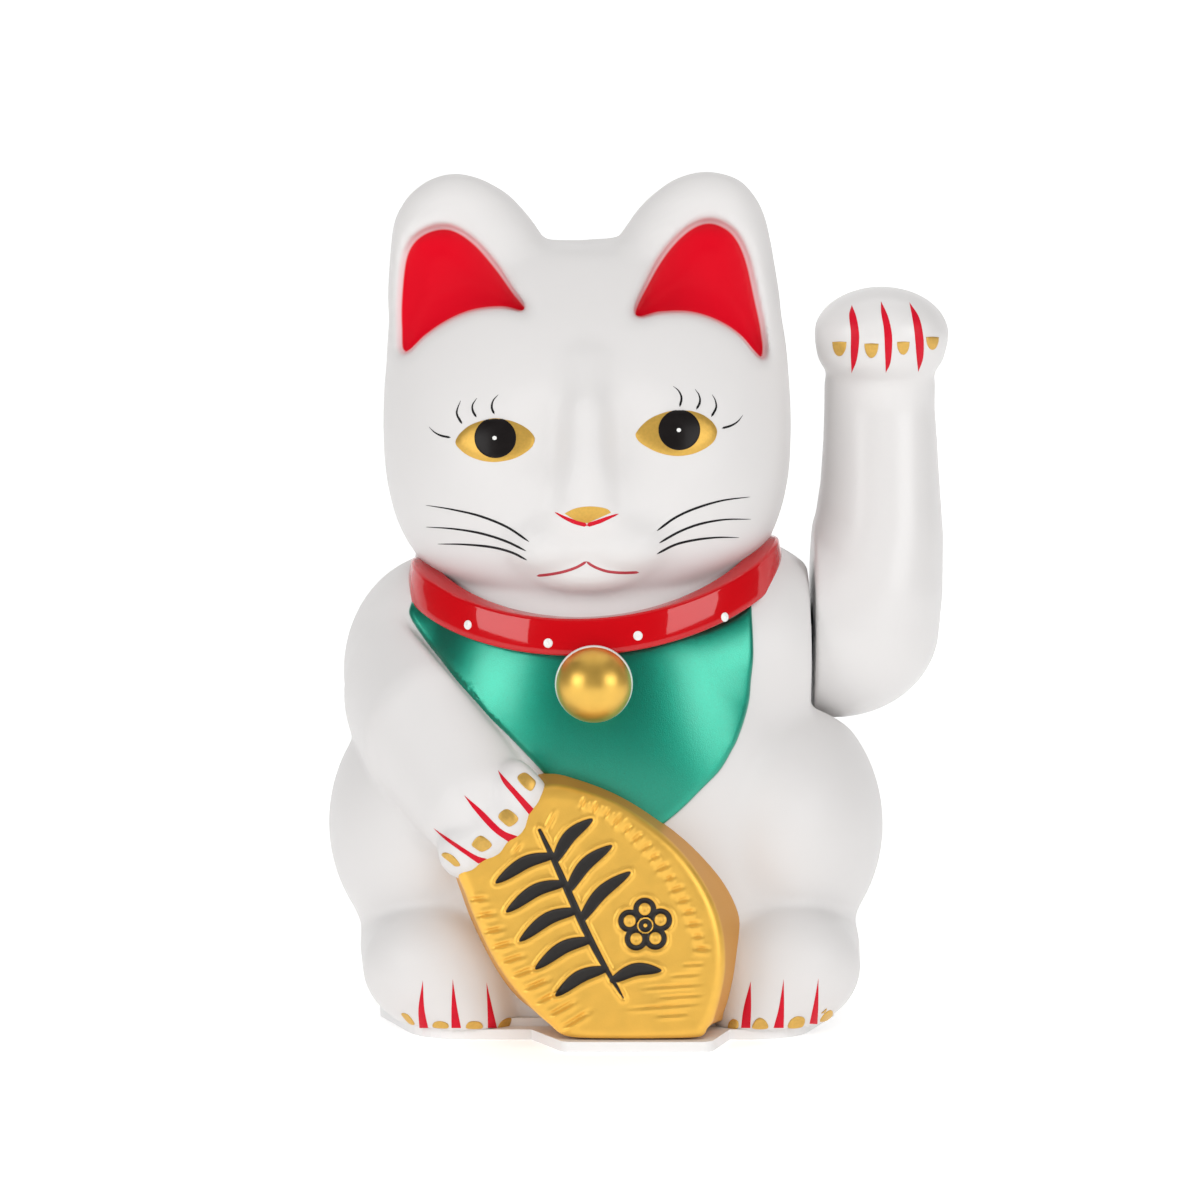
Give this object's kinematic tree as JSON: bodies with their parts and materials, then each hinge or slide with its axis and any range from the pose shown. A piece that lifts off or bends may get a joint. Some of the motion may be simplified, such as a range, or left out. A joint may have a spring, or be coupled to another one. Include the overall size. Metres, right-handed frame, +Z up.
{
  "type": "beckoning cat figurine",
  "caption": "Hollow plastic beckoning cat on a flat base, one forepaw swinging on an axle with a battery-driven pendulum inside, the other holding an oval coin.",
  "frame": {"origin": "underside of the base plate, on the centre line of the body", "axes": "+Z up, the cat faces -Y, its raised left arm is on +X"},
  "size_m": [0.1468, 0.1143, 0.1991],
  "materials": {
    "body_white": "satin gloss",
    "collar_red": "high gloss lacquer",
    "bib_green": "metallic flake lacquer",
    "coin_gold": "metallic gold lacquer with black inlay",
    "bell_gold": "metallic gold lacquer",
    "base_white": "moulded, fine grain",
    "inner_white": "moulded",
    "steel": "bright zinc plated",
    "dark_steel": "blackened",
    "cell_jacket": "printed foil jacket, plain",
    "board_green": "solder resist",
    "copper": "enamelled copper wire",
    "part_black": "moulded",
    "part_blue": "sleeved can",
    "part_tan": "coated",
    "wire_red": "PVC",
    "wire_black": "PVC"
  },
  "bodies": {
    "body": {"front_shell": "body_white", "back_shell": "body_white", "collar_front": "collar_red", "collar_back": "collar_red", "bib": "bib_green", "bell": "bell_gold", "koban_coin": "coin_gold", "base_plate": "base_white", "base_screws": "steel", "battery": "cell_jacket", "contact_spring": "steel", "contact_plates": "steel", "mechanism_frame": "inner_white", "frame_screws": "steel", "axle_bushes": "inner_white", "circuit_board": "board_green", "board_screws": "steel", "coil_bobbin": "inner_white", "coil_winding": "copper", "transistor": "part_black", "capacitor": "part_blue", "resistor": "part_tan", "switch_body": "steel", "wire_cell_to_switch": "wire_red", "wire_switch_to_board": "wire_red", "wire_cell_to_board": "wire_black"},
    "arm": {"axle": "steel", "axle_clips": "dark_steel", "pendulum_lever": "inner_white", "counterweight": "dark_steel", "magnet": "steel", "arm_front_shell": "body_white", "arm_back_shell": "body_white", "arm_hub": "inner_white"},
    "cover": {"battery_cover": "base_white"},
    "knob": {"switch_knob": "part_black"}
  },
  "joints": [
    {"name": "arm_swing", "type": "hinge", "parent": "body", "child": "arm", "pos_m": [0.0265, 0.003, 0.09], "axis": [1, 0, 0], "range_deg": [-20, 20]},
    {"name": "cover_slide", "type": "slide", "parent": "body", "child": "cover", "axis": [0, 1, 0], "range_m": [0, 0.074]},
    {"name": "switch_slide", "type": "slide", "parent": "body", "child": "knob", "axis": [1, 0, 0], "range_m": [0, 0.003]}
  ]
}
